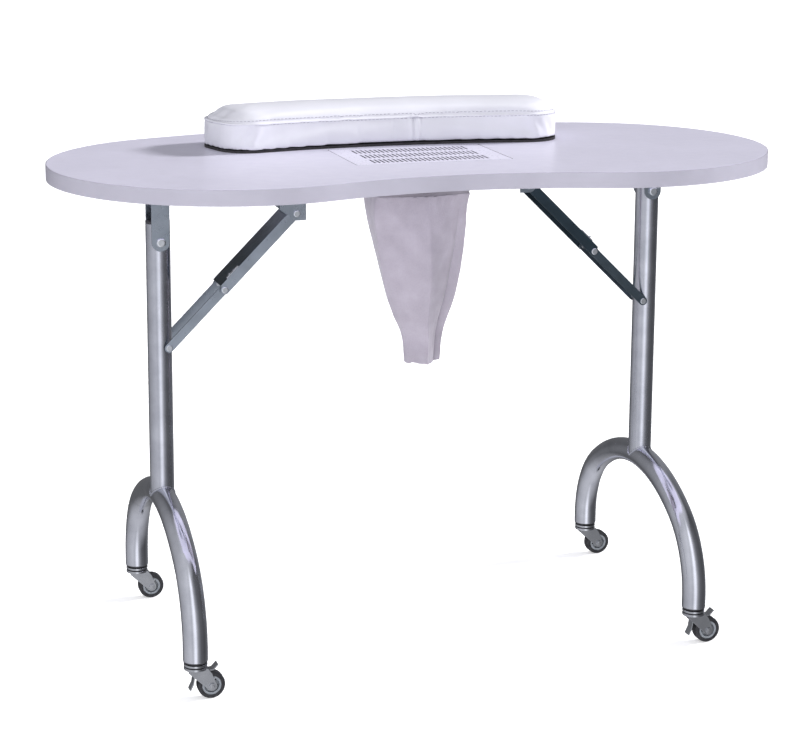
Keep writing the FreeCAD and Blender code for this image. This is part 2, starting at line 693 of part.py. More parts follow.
def rivet(side, inner, outer, head_r, head_h=RIVET_HEAD_H):
    """A short rivet across one wall: a shank and a domed outer head."""
    shank = cross_cylinder(0, 0, *wall(side, inner, outer), RIVET_R)
    head = cross_cylinder(0, 0, *wall(side, outer, outer + head_h), head_r)
    rim = [e for e in head.Edges if abs(e.BoundBox.YMin - side * (outer + head_h)) < 0.01]
    return shank.fuse(head.makeFillet(head_h * 0.6, rim)).removeSplitter()


# ---------------------------------------------------------------- casters
def make_caster(name, sx, sy, braked):
    """One swivel caster: its fork trails towards +X."""
    ax = sx + WHEEL_TRAIL
    crown = upright_cylinder(sx, sy, *CROWN_Z, CROWN_R)
    crown = crown.makeFillet(1.4, [e for e in crown.Edges if e.BoundBox.ZLength < 0.01])
    pieces = [crown]
    outer = FORK_INNER + FORK_T
    for s in (-1, 1):
        y = sorted((sy + s * FORK_INNER, sy + s * outer))
        plate = plate_xz([(sx + x, z) for x, z in FORK_PROFILE], *y)
        pieces.append(plate.fuse(cross_cylinder(ax, WHEEL_R, *y, 7)))
    fork = joined(pieces)
    fork = fork.cut(upright_cylinder(sx, sy, 30, 60, KINGPIN_R + RUNNING_GAP))
    fork = fork.cut(cross_cylinder(ax, WHEEL_R, sy - 20, sy + 20, AXLE_R))
    if braked:
        pin = (sx + BRAKE_PIVOT[0], BRAKE_PIVOT[1])
        fork = fork.fuse(cross_cylinder(*pin, sy - outer, sy + outer, BRAKE_PIN_R))
        make_brake_lever(name, sx, sy, pin)
    save(f"{name}_fork", fork.removeSplitter())

    shank = cross_cylinder(ax, WHEEL_R, sy - outer - 3, sy + outer, AXLE_R)
    head = cross_cylinder(ax, WHEEL_R, sy + outer, sy + outer + 2.2, 4.6)
    nut_face = Part.Face(Part.makePolygon(hexagon(ax, WHEEL_R, 4.9, sy - outer - 2.4)))
    save(f"{name}_axle", joined([shank, head, nut_face.extrude(V(0, 2.4, 0))]))

    bore = AXLE_R + RUNNING_GAP
    # radius and place across the wheel
    hub_points = [
        (bore, -8.9), (5.2, -8.9), (5.2, -3), (10.6, -3), (10.6, -7.6), (HUB_R, -7.6),
        (HUB_R, 7.6), (10.6, 7.6), (10.6, 3), (5.2, 3), (5.2, 8.9), (bore, 8.9),
    ]
    hub = revolved(hub_points, ax, sy, WHEEL_R)
    for k in range(HUB_SPOKES):
        window = Part.makeBox(3.4, 10, 4.2, V(6.2, -5, -2.1))
        window.rotate(V(0, 0, 0), V(0, 1, 0), 360 / HUB_SPOKES * k + 20)
        window.translate(V(ax, sy, WHEEL_R))
        hub = hub.cut(window)
    save(f"{name}_wheel_hub", hub)

    half = TYRE_HALF_W
    tyre = cross_cylinder(ax, WHEEL_R, sy - half, sy + half, WHEEL_R)
    tyre = tyre.makeFillet(3.4, [e for e in tyre.Edges if e.BoundBox.YLength < 0.01])
    save(f"{name}_tyre", tyre.cut(cross_cylinder(ax, WHEEL_R, sy - half - 1, sy + half + 1, HUB_R)))


def make_brake_lever(name, sx, sy, pin):
    """A bent strip over the wheel: a pedal behind, a release tab in front."""
    y = (sy - BRAKE_HALF_W, sy + BRAKE_HALF_W)
    strips = [cross_cylinder(*pin, *y, BRAKE_PIN_R + 1.2)]
    for (xa, za), (xb, zb) in zip(BRAKE_STRIP, BRAKE_STRIP[1:]):
        run = sqrt((xb - xa) ** 2 + (zb - za) ** 2)
        nx = -(zb - za) / run * BRAKE_T / 2
        nz = (xb - xa) / run * BRAKE_T / 2
        corners = [(xa + nx, za + nz), (xb + nx, zb + nz), (xb - nx, zb - nz), (xa - nx, za - nz)]
        strips.append(plate_xz([(sx + x, z) for x, z in corners], *y))
        strips.append(cross_cylinder(sx + xb, zb, *y, BRAKE_T / 2))
    lever = joined(strips)
    bore = BRAKE_PIN_R + RUNNING_GAP
    save(f"{name}_brake", lever.cut(cross_cylinder(*pin, y[0] - 1, y[1] + 1, bore)))


# ---------------------------------------------------------------- build
os.makedirs("parts", exist_ok=True)
make_top()
make_grille()
make_fan_housing()
make_fan()
make_dust_bag()
make_switch()
make_armrest()
make_screws()
make_pivot_bolts()
table_rivets = []
for side_name, side_data in SIDES.items():
    make_leg(side_name)
    make_leg_bracket(side_name)
    make_brace_bracket(side_name)
    make_upper_link(side_name)
    make_lower_bars(side_name)
    make_latch(side_name)
    table_rivets += make_brace_rivets(side_name)
    for row_name, row_y in (("front", LEG_Y - FOOT_Y), ("rear", LEG_Y + FOOT_Y)):
        make_caster(f"{side_name}_{row_name}", side_data["pivot"][0], row_y, row_name == "front")
save("brace_top_rivets", *table_rivets)
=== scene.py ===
import json
from math import atan2, cos, exp, pi, radians, sin, sqrt

import bmesh
import bpy
from mathutils import Matrix, Vector, noise
from mathutils.bvhtree import BVHTree
from mathutils.kdtree import KDTree


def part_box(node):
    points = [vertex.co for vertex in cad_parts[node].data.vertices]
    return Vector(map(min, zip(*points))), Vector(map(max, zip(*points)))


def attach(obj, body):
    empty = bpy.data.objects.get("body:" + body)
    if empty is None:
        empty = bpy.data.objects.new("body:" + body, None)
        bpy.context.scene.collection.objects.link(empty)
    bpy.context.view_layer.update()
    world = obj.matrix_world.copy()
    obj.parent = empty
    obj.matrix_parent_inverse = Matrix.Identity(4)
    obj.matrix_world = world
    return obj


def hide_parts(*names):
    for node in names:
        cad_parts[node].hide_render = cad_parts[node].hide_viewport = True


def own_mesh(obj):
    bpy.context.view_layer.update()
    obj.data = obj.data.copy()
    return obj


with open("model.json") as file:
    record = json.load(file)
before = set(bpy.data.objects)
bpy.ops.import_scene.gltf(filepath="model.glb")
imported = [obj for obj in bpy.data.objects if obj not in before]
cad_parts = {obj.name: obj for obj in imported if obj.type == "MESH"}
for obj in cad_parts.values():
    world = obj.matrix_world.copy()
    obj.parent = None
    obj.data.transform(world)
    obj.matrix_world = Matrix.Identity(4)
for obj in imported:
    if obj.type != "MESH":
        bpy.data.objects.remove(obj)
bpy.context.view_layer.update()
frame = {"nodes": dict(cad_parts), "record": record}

# The folding manicure table's looks, in metres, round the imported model.
# +X runs along the table, +Y away from the technician, +Z up.

MM = 0.001
NODES = frame["nodes"]
SIDES = ("left", "right")


# ---------------------------------------------------------------- node helpers
class Shader:
    """A node tree with short calls: add a node, wire sockets, and set values."""

    def __init__(self, tree):
        self.tree = tree
        tree.nodes.clear()

    def add(self, kind, **settings):
        node = self.tree.nodes.new(kind)
        for key, value in settings.items():
            if key.startswith("in_"):
                name = key[3:].replace("_", " ")
                node.inputs[int(name) if name.isdigit() else name].default_value = value
            else:
                setattr(node, key, value)
        return node

    def wire(self, source, target):
        self.tree.links.new(source, target)

    def coords(self, scale=(1, 1, 1)):
        place = self.add("ShaderNodeTexCoord")
        mapping = self.add("ShaderNodeMapping", in_Scale=scale)
        self.wire(place.outputs["Object"], mapping.inputs["Vector"])
        return mapping.outputs["Vector"]

    def noise(self, scale, detail, stretch=(1, 1, 1)):
        node = self.add("ShaderNodeTexNoise", in_Scale=scale, in_Detail=detail)
        self.wire(self.coords(stretch), node.inputs["Vector"])
        return node.outputs["Fac"]

    def cells(self, scale):
        node = self.add("ShaderNodeTexVoronoi", in_Scale=scale)
        self.wire(self.coords(), node.inputs["Vector"])
        return node.outputs["Distance"]

    def remap(self, value, low, high, to_low, to_high):
        node = self.add("ShaderNodeMapRange")
        for socket, number in zip(node.inputs[1:5], (low, high, to_low, to_high)):
            socket.default_value = number
        self.wire(value, node.inputs["Value"])
        return node.outputs["Result"]

    def ramp(self, value, stops):
        node = self.add("ShaderNodeValToRGB")
        elements = node.color_ramp.elements
        while len(elements) < len(stops):
            elements.new(0.5)
        for element, (place, colour) in zip(elements, stops):
            element.position = place
            element.color = (*colour, 1)
        self.wire(value, node.inputs["Fac"])
        return node.outputs["Color"]

    def cover(self, factor, below, above, surface):
        """Base colour going from one plain colour to another tone as the factor rises."""
        mix = self.add("ShaderNodeMix", data_type="RGBA")
        mix.inputs["A"].default_value = (*below, 1)
        self.wire(factor, mix.inputs["Factor"])
        self.wire(above, mix.inputs["B"])
        self.wire(mix.outputs["Result"], surface.inputs["Base Color"])

    def facing(self, axis):
        """How far a face is turned along one of the object's own axes, 0 to 1."""
        split = self.add("ShaderNodeSeparateXYZ")
        self.wire(self.add("ShaderNodeTexCoord").outputs["Normal"], split.inputs["Vector"])
        size = self.add("ShaderNodeMath", operation="ABSOLUTE")
        self.wire(split.outputs[axis], size.inputs[0])
        return size.outputs[0]

    def rounded_edges(self):
        """A normal that turns over about a millimetre at each edge, as on pressed metal."""
        return self.add("ShaderNodeBevel", samples=4, in_Radius=EDGE_R).outputs["Normal"]

    def bump(self, height, distance, strength, below=None):
        node = self.add("ShaderNodeBump", in_Strength=strength, in_Distance=distance)
        self.wire(height, node.inputs["Height"])
        if below is not None:
            self.wire(below, node.inputs["Normal"])
        return node.outputs["Normal"]


def new_material(name, **settings):
    """A material and its shader, with the uniform values set on the sockets themselves."""
    material = bpy.data.materials.new(name)
    material.use_nodes = True
    shader = Shader(material.node_tree)
    surface = shader.add("ShaderNodeBsdfPrincipled", **settings)
    output = shader.add("ShaderNodeOutputMaterial")
    shader.wire(surface.outputs["BSDF"], output.inputs["Surface"])
    return material, shader, surface


def shade(value, tint):
    """A tint at some brightness."""
    return tuple(value * part for part in tint)


# ---------------------------------------------------------------- materials
LILAC = (0.868, 0.84, 1.0)
VINYL_TINT = (0.925, 0.92, 1.0)
CLOTH_TINT = (0.93, 0.85, 1.0)
SLOT_SHADE = (0.05, 0.048, 0.055)  # painted shade on the walls of the slots, where little light reaches
SLOT_SHADE_FROM, SLOT_SHADE_TO = 1.2 * MM, 0.3 * MM  # the painted shade fades out between these depths
CORE_AND_GAP_SHADE = (0.1, 0.085, 0.085)  # the bare core where the rebate is cut, made near black as painted shade in the gap round the grille
CUT_REACH, CUT_FADE = 0.146, 2 * MM  # how far from the grille's middle the dark core and its painted shade show
EDGE_R = 0.9 * MM  # the rounding that the steel's edges seem to have


def laminate():
    """Melamine board: a faintly mottled satin white; where the rebate is cut, the bare core is painted
    near black, standing in for the shade in the gap round the grille.
    """
    material, s, surface = new_material("white_laminate", in_Coat_Weight=0.12, in_Coat_Roughness=0.3)
    tone = s.ramp(s.noise(9, 4), [(0.3, shade(0.715, LILAC)), (0.7, shade(0.755, LILAC))])
    low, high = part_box("vent_grille")
    reach = s.add("ShaderNodeVectorMath", operation="DISTANCE", in_1=(low + high) / 2)
    s.wire(s.coords(), reach.inputs[0])
    # Painted shade: upright faces near the grille take the near-black core colour.
    skin = s.add("ShaderNodeMath", operation="MAXIMUM")
    s.wire(s.remap(s.facing("Z"), 0.3, 0.6, 0, 1), skin.inputs[0])
    beyond = s.remap(reach.outputs["Value"], CUT_REACH - CUT_FADE, CUT_REACH + CUT_FADE, 0, 1)
    s.wire(beyond, skin.inputs[1])
    s.cover(skin.outputs[0], CORE_AND_GAP_SHADE, tone, surface)
    s.wire(s.remap(s.noise(60, 3), 0.3, 0.7, 0.3, 0.4), surface.inputs["Roughness"])
    s.wire(s.bump(s.noise(700, 2), 0.00004, 0.3), surface.inputs["Normal"])
    return material


def shaded_banding():
    """The edge strip: painted much darker than the top, as painted shade on the upright edge, with faint
    lengthwise waves.
    """
    material, s, surface = new_material("edge_band", in_Coat_Weight=0.1, in_Coat_Roughness=0.25)
    # Painted shade: the band's tone is set far below the top's.
    tone = s.ramp(s.noise(14, 3), [(0.3, shade(0.4, LILAC)), (0.7, shade(0.44, LILAC))])
    s.wire(tone, surface.inputs["Base Color"])
    s.wire(s.remap(s.noise(40, 2, (1, 1, 6)), 0.3, 0.7, 0.28, 0.38), surface.inputs["Roughness"])
    s.wire(s.bump(s.noise(90, 2, (1, 1, 4)), 0.0001, 0.35), surface.inputs["Normal"])
    return material


def white_plastic():
    """The grille's moulding, with painted shade darkening the walls of its slots."""
    material, s, surface = new_material("white_plastic", in_IOR=1.47)
    tone = s.ramp(s.noise(30, 3), [(0.3, shade(0.78, LILAC)), (0.7, shade(0.82, LILAC))])
    face_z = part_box("vent_grille")[1].z
    split = s.add("ShaderNodeSeparateXYZ")
    s.wire(s.coords(), split.inputs["Vector"])
    # Painted shade: the slot walls go dark below the grille's face.
    unshaded = s.remap(split.outputs["Z"], face_z - SLOT_SHADE_FROM, face_z - SLOT_SHADE_TO, 0, 1)
    s.cover(unshaded, SLOT_SHADE, tone, surface)
    s.wire(s.remap(s.noise(200, 3), 0.3, 0.7, 0.26, 0.36), surface.inputs["Roughness"])
    s.wire(s.bump(s.noise(500, 2), 0.00004, 0.3), surface.inputs["Normal"])
    return material


def black_plastic():
    """Moulded plastic with a spark-eroded grain."""
    material, s, surface = new_material("black_plastic")
    tone = s.ramp(s.noise(120, 3), [(0.3, (0.018, 0.018, 0.022)), (0.7, (0.032, 0.032, 0.037))])
    s.wire(tone, surface.inputs["Base Color"])
    s.wire(s.remap(s.noise(300, 2), 0.3, 0.7, 0.38, 0.5), surface.inputs["Roughness"])
    s.wire(s.bump(s.cells(1400), 0.0001, 0.5), surface.inputs["Normal"])
    return material


def vinyl():
    """White leathercloth with a soft sheen, a fine grain and faint undulations."""
    material, s, surface = new_material(
        "white_vinyl", in_Coat_Weight=0.12, in_Coat_Roughness=0.25, in_Specular_IOR_Level=0.42
    )
    dark, light = shade(0.775, VINYL_TINT), shade(0.825, VINYL_TINT)
    tone = s.ramp(s.noise(18, 4), [(0.3, dark), (0.7, light)])
    s.wire(tone, surface.inputs["Base Color"])
    s.wire(s.remap(s.noise(60, 2), 0.3, 0.7, 0.38, 0.46), surface.inputs["Roughness"])
    grain = s.bump(s.noise(260, 2), 0.00006, 0.2)
    s.wire(s.bump(s.noise(38, 2), 0.0006, 0.2, grain), surface.inputs["Normal"])
    return material


def dark_board_and_gap_shade():
    """The armrest's base board: near black, rough and fibrous. Its near-black tone also stands in for
    the shade in the thin gap under the cushion.
    """
    material, s, surface = new_material("dark_board_and_gap_shade")
    tone = s.ramp(s.noise(60, 4, (1, 8, 8)), [(0.3, (0.02, 0.018, 0.022)), (0.7, (0.05, 0.046, 0.05))])
    s.wire(tone, surface.inputs["Base Color"])
    s.wire(s.remap(s.noise(200, 2), 0.3, 0.7, 0.7, 0.85), surface.inputs["Roughness"])
    s.wire(s.bump(s.noise(700, 3), 0.0003, 0.6), surface.inputs["Normal"])
    return material


def steel(name, dark, light, rough, streak, grain):
    """Drawn or plated steel: cloudy tone, roughness that streaks along the grain, faint dents."""
    material, s, surface = new_material(name, in_Metallic=1.0)
    s.wire(s.ramp(s.noise(26, 5), [(0.28, dark), (0.72, light)]), surface.inputs["Base Color"])
    s.wire(s.remap(s.noise(120, 4, streak), 0.25, 0.75, *rough), surface.inputs["Roughness"])
    lines = s.bump(s.noise(420, 2, streak), 0.00003, grain, s.rounded_edges())
    s.wire(s.bump(s.noise(45, 2), 0.0004, 0.12, lines), surface.inputs["Normal"])
    return material


def shaded_channel_steel(name, web, cheek):
    """Zinc-plated channel: the rolled web and the two cheeks get two tones of painted light and shade,
    standing in for how each face is lit, not for their own colours.
    """
    material, s, surface = new_material(name, in_Metallic=0.9)
    cloud = s.noise(30, 4)
    mix = s.add("ShaderNodeMix", data_type="RGBA")
    # Painted shade: faces turned along Y take the cheek tone, the rest the web tone.
    s.wire(s.remap(s.facing("Y"), 0.55, 0.8, 0.0, 1.0), mix.inputs["Factor"])
    s.wire(s.ramp(cloud, [(0.3, shade(0.8, web)), (0.7, shade(1.2, web))]), mix.inputs["A"])
    s.wire(s.ramp(cloud, [(0.3, shade(0.85, cheek)), (0.7, shade(1.15, cheek))]), mix.inputs["B"])
    s.wire(mix.outputs["Result"], surface.inputs["Base Color"])
    s.wire(s.remap(s.noise(110, 4), 0.25, 0.75, 0.26, 0.4), surface.inputs["Roughness"])
    s.wire(s.bump(s.noise(45, 2), 0.0004, 0.12, s.rounded_edges()), surface.inputs["Normal"])
    return material


def rubber():
    """Tyres: near black, uneven and matt."""
    material, s, surface = new_material("rubber", in_Specular_IOR_Level=0.4)
    tone = s.ramp(s.noise(160, 4), [(0.3, (0.014, 0.014, 0.017)), (0.7, (0.034, 0.034, 0.038))])
    s.wire(tone, surface.inputs["Base Color"])
    s.wire(s.remap(s.noise(240, 3), 0.3, 0.7, 0.45, 0.62), surface.inputs["Roughness"])
    s.wire(s.bump(s.noise(900, 3), 0.0001, 0.5), surface.inputs["Normal"])
    return material


def grey_nylon():
    """Wheel hubs: a mid grey with a faint moulded texture."""
    material, s, surface = new_material("grey_nylon")
    tone = s.ramp(s.noise(200, 3), [(0.3, (0.2, 0.22, 0.25)), (0.7, (0.29, 0.31, 0.34))])
    s.wire(tone, surface.inputs["Base Color"])
    s.wire(s.remap(s.noise(300, 2), 0.3, 0.7, 0.32, 0.45), surface.inputs["Roughness"])
    s.wire(s.bump(s.noise(1200, 2), 0.00006, 0.5), surface.inputs["Normal"])
    return material


def bag_cloth(name, brightness):
    """Spun-bonded cloth: pressed points in a fibrous, slightly uneven sheet."""
    material, s, surface = new_material(
        name, in_Roughness=0.85, in_Sheen_Weight=0.2, in_Sheen_Roughness=0.5
    )
    dark, light = shade(0.325 * brightness, CLOTH_TINT), shade(0.39 * brightness, CLOTH_TINT)
    tone = s.ramp(s.noise(34, 5), [(0.3, dark), (0.7, light)])
    points = s.cells(620)
    dots = s.remap(points, 0.0, 0.45, 0.86, 1.0)
    mix = s.add("ShaderNodeMix", data_type="RGBA", blend_type="MULTIPLY")
    mix.inputs["Factor"].default_value = 1.0
    s.wire(tone, mix.inputs["A"])
    s.wire(dots, mix.inputs["B"])
    s.wire(mix.outputs["Result"], surface.inputs["Base Color"])
    fibres = s.bump(s.noise(1500, 4, (1, 1, 0.4)), 0.00015, 0.5)
    s.wire(s.bump(points, 0.0003, 0.6, fibres), surface.inputs["Normal"])
    return material


def thread():
    """The armrest's stitches, a shade darker than the vinyl."""
    material, s, surface = new_material("thread", in_Roughness=0.6)
    tone = s.ramp(s.noise(900, 2), [(0.3, (0.36, 0.35, 0.42)), (0.7, (0.46, 0.45, 0.52))])
    s.wire(tone, surface.inputs["Base Color"])
    s.wire(s.bump(s.noise(3000, 2), 0.0001, 0.5), surface.inputs["Normal"])
    return material


def floor_paint():
    """A pale floor that glows a little, so that it meets the white background."""
    material, s, surface = new_material(
        "floor_paint", in_Roughness=0.6, in_Specular_IOR_Level=0.2,
        in_Emission_Color=(1, 1, 1, 1), in_Emission_Strength=0.44,
    )
    tone = s.ramp(s.noise(0.8, 3), [(0.3, (0.9, 0.9, 0.905)), (0.7, (0.915, 0.915, 0.92))])
    s.wire(tone, surface.inputs["Base Color"])
    return material


TUBE_STREAK = (1.5, 1.5, 0.05)  # drawn out along the upright tubes
SHEET_STREAK = (1, 1, 1)
MATERIALS = {
    "white_laminate": laminate(),
    "edge_band_white": shaded_banding(),
    "white_plastic": white_plastic(),
    "black_plastic": black_plastic(),
    "white_vinyl": vinyl(),
    "black_board": dark_board_and_gap_shade(),
    "satin_steel": steel(
        "satin_steel", (0.52, 0.53, 0.59), (0.68, 0.69, 0.76), (0.2, 0.3), TUBE_STREAK, 0.4
    ),
    "zinc_steel": steel(
        "zinc_steel", (0.27, 0.31, 0.36), (0.44, 0.48, 0.54), (0.22, 0.38), SHEET_STREAK, 0.6
    ),
    "chrome": steel("chrome", (0.48, 0.49, 0.52), (0.64, 0.65, 0.68), (0.08, 0.2), SHEET_STREAK, 0.3),
    "rubber": rubber(),
    "grey_nylon": grey_nylon(),
    "lilac_cloth": bag_cloth("lilac_cloth", 1.0),
}
# The bag's top band, above the hem, is set darker than the rest of the cloth.
DARKER_TOP_CLOTH = bag_cloth("darker_top_cloth", 0.62)
THREAD = thread()
# A glossier copy of the tube steel for the arches; its lighter tone is painted light, standing in for
# their brighter highlights.
BENT_TUBE_LIT = steel("bent_tube_lit", (0.6, 0.61, 0.67), (0.78, 0.79, 0.86), (0.09, 0.17), SHEET_STREAK, 0.2)
BRIGHT_ZINC = steel("bright_zinc", (0.6, 0.63, 0.68), (0.8, 0.82, 0.86), (0.12, 0.25), SHEET_STREAK, 0.3)
# Painted shade: the left webs and the right cheeks are darkened for the shade and dark reflections they
# catch.
SHADED_CHANNELS = {
    "left": shaded_channel_steel("left_channel", (0.035, 0.05, 0.062), (0.36, 0.4, 0.46)),
    "right": shaded_channel_steel("right_channel", (0.16, 0.19, 0.22), (0.045, 0.068, 0.088)),
}
# Painted shade on the right lower brace's bars, darker on the cheeks.
SHADED_RIGHT_BARS = shaded_channel_steel("right_bars", (0.2, 0.23, 0.26), (0.085, 0.112, 0.136))


def finish_of(node, slot):
    """The slot's material, save for bent tube, brace channels and locks, rivets and bolts."""
    if "rivets" in node or "bolts" in node or node.endswith("brace_lock"):
        return BRIGHT_ZINC
    if node.endswith("_arch"):
        return BENT_TUBE_LIT
    if node == "right_brace_lower":
        return SHADED_RIGHT_BARS
    if node.endswith(("brace_upper", "brace_lower")):
        return SHADED_CHANNELS[node.split("_")[0]]
    return MATERIALS[slot]


def dress_frame():
    """Every CAD node gets its finish."""
    for row in frame["record"]["subparts"]:
        node = NODES[row["node"]]
        node.data.materials.clear()
        node.data.materials.append(finish_of(row["node"], row["material_slot"]))


# ---------------------------------------------------------------- mesh helpers
def mesh_piece(name, points, faces, body, slot, material=None):
    """A new visible piece, made from points and faces."""
    mesh = bpy.data.meshes.new(name)
    mesh.from_pydata([tuple(p) for p in points], [], faces)
    mesh.update()
    piece = bpy.data.objects.new(name, mesh)
    bpy.context.scene.collection.objects.link(piece)
    finish_piece(piece, body, slot, material)


def finish_piece(piece, body, slot, material=None):
    """Smooth shading, a material (the slot's, unless one is given), and the body that the piece belongs
    to.
    """
    piece.data.materials.clear()
    piece.data.materials.append(material or MATERIALS[slot])
    piece.data.polygons.foreach_set("use_smooth", [True] * len(piece.data.polygons))
    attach(piece, body)


def apply_modifiers(piece):
    """The piece's mesh becomes what its modifiers make of it."""
    depsgraph = bpy.context.evaluated_depsgraph_get()
    mesh = bpy.data.meshes.new_from_object(piece.evaluated_get(depsgraph))
    piece.modifiers.clear()
    old = piece.data
    piece.data = mesh
    bpy.data.meshes.remove(old)


def tube_along(points, radius_at, sides):
    """Points and faces of a tube round a closed path. radius_at gives the radius at each step."""
    count = len(points)
    verts, faces = [], []
    for i, point in enumerate(points):
        along = (points[(i + 1) % count] - points[i - 1]).normalized()
        side = along.cross(Vector((0, 0, 1)))
        side = side.normalized() if side.length > 0.05 else Vector((1, 0, 0))
        up = side.cross(along).normalized()
        for k in range(sides):
            angle = 2 * pi * k / sides
            verts.append(point + (side * cos(angle) + up * sin(angle)) * radius_at(i))
    for i in range(count):
        for k in range(sides):
            j, m = (i + 1) % count, (k + 1) % sides
            faces.append((i * sides + k, i * sides + m, j * sides + m, j * sides + k))
    return verts, faces


# ---------------------------------------------------------------- armrest
REST_X = -0.010  # the middle of the armrest
REST_NEAR_Y = 0.052  # its near side, at the middle
REST_BEND_R = 0.985  # how that side is bent
REST_DEPTH = 0.136
REST_L = 0.582
REST_CORNER_R = 0.052
SEAM_DROP = 4.6 * MM  # the seam, below the CAD cushion's flat top
CROWN = 12.5 * MM  # how far the top panel stands over the seamed edge
SEAM_STEP = 1.0 * MM
PIPING_STEP = 4.0 * MM
STITCH_OFF = 3.0 * MM  # the side row of stitches, below the seam
STITCH_STEPS, STITCH_PITCH = 4, 6  # a stitch, and a stitch with its gap, in seam steps
STITCH_R, STITCH_SIDES = 0.4 * MM, 5
TOP_ROW_INSET = 5.4 * MM  # the top row of stitches, in from the outline
PAD_SHRINK = 1.6 * MM  # taken off the foam before it swells
PAD_VOXEL = 4.0 * MM
PAD_PRESSURE = 4.0
PAD_SWELL = 3.2 * MM  # no point of the cloth moves further than this
PAD_HELD = 3.0 * MM  # the lowest part of the foam, which stays where it is
SWELL_FRAMES = 20
SKIRT_H = 9.0 * MM  # the lowest part of the sides, which is drawn down
SKIRT_DROP = 2.9 * MM  # the most that the skirt hangs below the CAD cushion
LEFT_SKIRT, RIGHT_SKIRT = (-0.06, -0.21), (0.225, 0.255)  # it hangs lower past these
LEFT_SLOPE = (-0.19, -0.26)  # the crown slopes away more past this, at the left end
JOIN_X = 0.024  # where the side band's two ends are sewn together


def rest_outline(inset, step):
    """The armrest's outline as evenly spaced points, counter-clockwise from the near side's middle."""
    near_r = REST_BEND_R + inset
    far_r = REST_BEND_R + REST_DEPTH - inset
    corner = REST_CORNER_R - inset
    centre = Vector((REST_X, REST_NEAR_Y - REST_BEND_R))
    half = (REST_L / 2 - inset) / far_r
    near_turn = half - atan2(corner, near_r + corner)
    far_turn = half - atan2(corner, far_r - corner)

    def at(radius, angle):
        return centre + Vector((radius * sin(angle), radius * cos(angle)))

    def arc(radius, start, end):
        steps = max(2, int(abs(end - start) * radius / step))
        return [at(radius, start + (end - start) * i / steps) for i in range(steps)]

    def corner_arc(middle, start, end):
        steps = max(2, int(abs(end - start) * corner / step))
        turn = [start + (end - start) * i / steps for i in range(steps)]
        return [middle + Vector((sin(a), cos(a))) * corner for a in turn]

    def straight(start, end):
        steps = max(1, int((end - start).length / step))
        return [start + (end - start) * (i / steps) for i in range(steps)]

    near_mid, far_mid = at(near_r + corner, near_turn), at(far_r - corner, far_turn)
    right = arc(near_r, 0, near_turn)
    right += corner_arc(near_mid, near_turn + pi, half + pi / 2)
    side = Vector((cos(half), -sin(half)))
    right += straight(near_mid + side * corner, far_mid + side * corner)
    right += corner_arc(far_mid, half + pi / 2, far_turn)
    right += arc(far_r, far_turn, 0)
    right.append(at(far_r, 0))
    mirrored = [Vector((2 * REST_X - p.x, p.y)) for p in reversed(right[1:-1])]
    return right + mirrored


def swell(piece, pressure, cap, pinned_below):
    """Blow the covered foam up like a cushion, with its underside held, and keep the result."""
    held = piece.vertex_groups.new(name="held")
    low = [v.index for v in piece.data.vertices if v.co.z < pinned_below]
    held.add(low, 1.0, "REPLACE")
    start = [v.co.copy() for v in piece.data.vertices]
    cloth = piece.modifiers.new("cloth", "CLOTH")
    cloth.settings.quality = 6
    cloth.settings.mass = 0.3
    cloth.settings.tension_stiffness = 18
    cloth.settings.compression_stiffness = 18
    cloth.settings.bending_stiffness = 4
    cloth.settings.use_pressure = True
    cloth.settings.uniform_pressure_force = pressure
    cloth.settings.vertex_group_mass = "held"
    cloth.settings.effector_weights.gravity = 0
    cloth.point_cache.frame_start = 1
    cloth.point_cache.frame_end = SWELL_FRAMES
    scene = bpy.context.scene
    for number in range(1, SWELL_FRAMES + 1):
        scene.frame_set(number)
    evaluated = piece.evaluated_get(bpy.context.evaluated_depsgraph_get())
    swollen = [v.co.copy() for v in evaluated.data.vertices]
    piece.modifiers.remove(cloth)
    for vertex, before, after in zip(piece.data.vertices, start, swollen):
        move = after - before
        if move.length > cap:
            move *= cap / move.length
        vertex.co = before + move
    scene.frame_set(1)


def make_cushion():
    """Vinyl-covered foam: firm sides, a crowned top, a seam round the top edge."""
    low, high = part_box("armrest_cushion")
    piece = bpy.data.objects.new("armrest_pad", NODES["armrest_cushion"].data.copy())
    bpy.context.scene.collection.objects.link(piece)
    shrink = piece.modifiers.new("shrink", "DISPLACE")
    shrink.strength = -PAD_SHRINK
    shrink.mid_level = 0.0
    remesh = piece.modifiers.new("remesh", "REMESH")
    remesh.mode = "VOXEL"
    remesh.voxel_size = PAD_VOXEL
    apply_modifiers(piece)
    swell(piece, PAD_PRESSURE, PAD_SWELL, low.z + PAD_HELD)
    smooth = piece.modifiers.new("smooth", "SMOOTH")
    smooth.iterations = 3
    detail = piece.modifiers.new("detail", "SUBSURF")
    detail.levels = detail.render_levels = 1
    apply_modifiers(piece)

    seam_z = high.z - SEAM_DROP
    outline = rest_outline(0, SEAM_STEP)
    tree = KDTree(len(outline))
    for i, p in enumerate(outline):
        tree.insert((p.x, p.y, 0), i)
    tree.balance()
    piece.data.update()
    normals = [v.normal.copy() for v in piece.data.vertices]
    for vertex, normal in zip(piece.data.vertices, normals):
        _, index, edge = tree.find((vertex.co.x, vertex.co.y, 0))
        vertex.co = pad_point(vertex.co, normal, index * SEAM_STEP, edge, low.z, seam_z)
    finish_piece(piece, "armrest", "white_vinyl")
    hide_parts("armrest_cushion")
    return piece, seam_z


def bell(distance, width):
    """1 at no distance, falling off smoothly past the width."""
    return exp(-((distance / width) ** 2))


def between(value, limits):
    """0 up to the first limit, 1 past the second."""
    start, end = limits
    return max(0.0, min(1.0, (value - start) / (end - start)))


